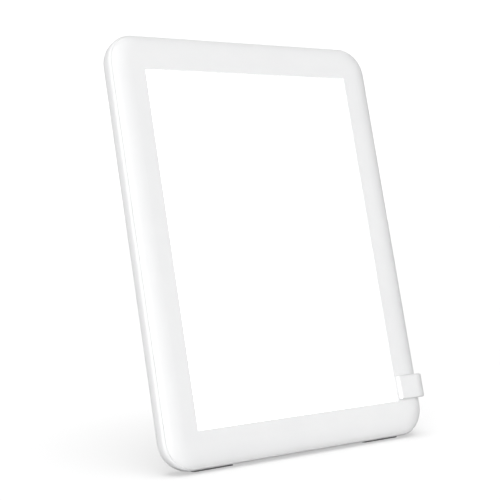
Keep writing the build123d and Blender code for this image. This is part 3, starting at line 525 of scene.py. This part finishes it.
def measure_screw(solid):
    """Where a CAD screw's axis meets the underside of its head, and the sizes that cut_screw takes."""
    axis = across(sum(solid, Vector()) / len(solid))
    points = [(point.dot(BACKWARDS), (across(point) - axis).length) for point in solid]
    tip = min(along for along, radius in points)
    top = max(along for along, radius in points)
    head_radius = max(radius for along, radius in points)
    seat = min(along for along, radius in points if radius > HEAD_RIM * head_radius)
    shank_radius = max(radius for along, radius in points if along < seat - SHANK_START)
    return axis + BACKWARDS * seat, (head_radius, top - seat, shank_radius, top - tip)


def cover_screws(finish):
    """Screws with thread and cross recess, each in the place of its CAD solid; all have one size."""
    measured = [measure_screw(solid) for solid in islands("cover_screws")]
    screw = cut_screw(*measured[0][1])
    turn = Matrix((-RIGHTWARDS, UP_THE_PANEL, BACKWARDS)).transposed().to_4x4()
    joined = bmesh.new()
    for place, _ in measured:
        copy = screw.copy()
        copy.transform(Matrix.Translation(place) @ turn)
        joined.from_mesh(copy)
        bpy.data.meshes.remove(copy)
    bpy.data.meshes.remove(screw)
    piece = new_object("cover_screws_threaded", joined)
    smooth_by_angle(piece, SHARP_FROM)
    piece.data.materials.append(finish)
    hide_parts("cover_screws")
    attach(piece, "lamp")


# ---- camera, floor, backdrop and lights ----

def make_camera():
    camera = bpy.data.objects.new("camera", bpy.data.cameras.new("camera"))
    camera.data.lens = CAMERA_LENS
    camera.data.clip_start = CAMERA_NEAR
    camera.location = CAMERA_PLACE
    camera.rotation_euler = (math.pi / 2 + CAMERA_PITCH, 0.0, CAMERA_YAW)
    bpy.context.scene.collection.objects.link(camera)
    bpy.context.scene.camera = camera


def white_paper(name, glow, shade):
    """Matt studio paper with faint clouds, that glows enough to look white."""
    material = start_material(name, IOR=1.3, Emission_Color=WHITE, Emission_Strength=glow)
    tone = clouds(material, PAPER_CLOUD)
    darker = ((1 - PAPER_VARIATION) * shade,) * 3
    lighter = ((1 + PAPER_VARIATION) * shade,) * 3
    colour(material, two_tone(material, tone, darker, lighter))
    roughness(material, between(material, tone, low=0.85, high=0.95))
    return material


def make_floor():
    """Plain pale floor that the lamp stands on."""
    shape = bmesh.new()
    bmesh.ops.create_grid(shape, x_segments=1, y_segments=1, size=FLOOR_SIZE / 2)
    floor = new_object("floor", shape)
    floor.data.materials.append(white_paper("floor_paper", FLOOR_GLOW, FLOOR_SHADE))
    return floor


def make_backdrop():
    """Plain pale wall all round; it only fills the view, and the room's light passes through it."""
    shape = bmesh.new()
    bmesh.ops.create_cone(
        shape, segments=BACKDROP_SIDES,
        radius1=BACKDROP_RADIUS, radius2=BACKDROP_RADIUS, depth=BACKDROP_HEIGHT)
    bmesh.ops.translate(shape, verts=shape.verts, vec=(0.0, 0.0, BACKDROP_HEIGHT / 2))
    wall = new_object("backdrop", shape)
    material = white_paper("backdrop_paper", BACKDROP_GLOW, BACKDROP_SHADE)
    material.cycles.emission_sampling = "NONE"
    wall.data.materials.append(material)
    wall.visible_diffuse = False
    wall.visible_glossy = False
    wall.visible_transmission = False
    wall.visible_shadow = False


def add_sun(name, energy, spread, floor, floor_only):
    """Broad distant light, linked to the floor alone or to all but the floor; it shines straight down."""
    light = bpy.data.lights.new(name, "SUN")
    light.energy = energy
    light.angle = spread
    sun = bpy.data.objects.new(name, light)
    bpy.context.scene.collection.objects.link(sun)
    linked = bpy.data.collections.new(name)
    linked.objects.link(floor)
    sun.light_linking.receiver_collection = linked
    if not floor_only:
        linked.collection_objects[0].light_linking.link_state = "EXCLUDE"
    return sun


def make_lights(floor):
    """A light from above and a glow that whiten only the floor, and a level light on the lamp's back."""
    above = add_sun("floor_light", FLOOR_LIGHT, FLOOR_LIGHT_SPREAD, floor, floor_only=True)
    floor.light_linking.receiver_collection = above.light_linking.receiver_collection
    behind = add_sun("back_light", BACK_LIGHT, BACK_LIGHT_SPREAD, floor, floor_only=False)
    behind.rotation_euler = (-math.pi / 2, 0.0, CAMERA_YAW)


def make_world():
    """Soft white room: an even base with broad brighter regions."""
    world = bpy.data.worlds.new("studio")
    bpy.context.scene.world = world
    world.use_nodes = True
    background = world.node_tree.nodes["Background"]
    background.inputs["Color"].default_value = WHITE
    source = add_node(world, "ShaderNodeTexCoord")
    total = ROOM_LIGHT
    for light in SOFT_LIGHTS:
        facing = add_node(world, "ShaderNodeVectorMath", {"operation": "DOT_PRODUCT"})
        facing.inputs[1].default_value = Vector(light["direction"]).normalized()
        link(world, source.outputs["Generated"], facing.inputs[0])
        fade = add_node(
            world, "ShaderNodeMapRange", {"interpolation_type": "SMOOTHSTEP"},
            From_Min=math.cos(math.radians(light["gone_by"])),
            From_Max=math.cos(math.radians(light["full_to"])),
            To_Max=light["strength"])
        link(world, facing.outputs["Value"], fade.inputs["Value"])
        total = calculate(world, "ADD", fade.outputs["Result"], total)
    link(world, total, background.inputs["Strength"])


make_camera()
make_world()
make_backdrop()
make_lights(make_floor())
bpy.context.scene.view_settings.view_transform = "Standard"
finishes = dress_nodes()
cover_screws(finishes["screw_steel"])
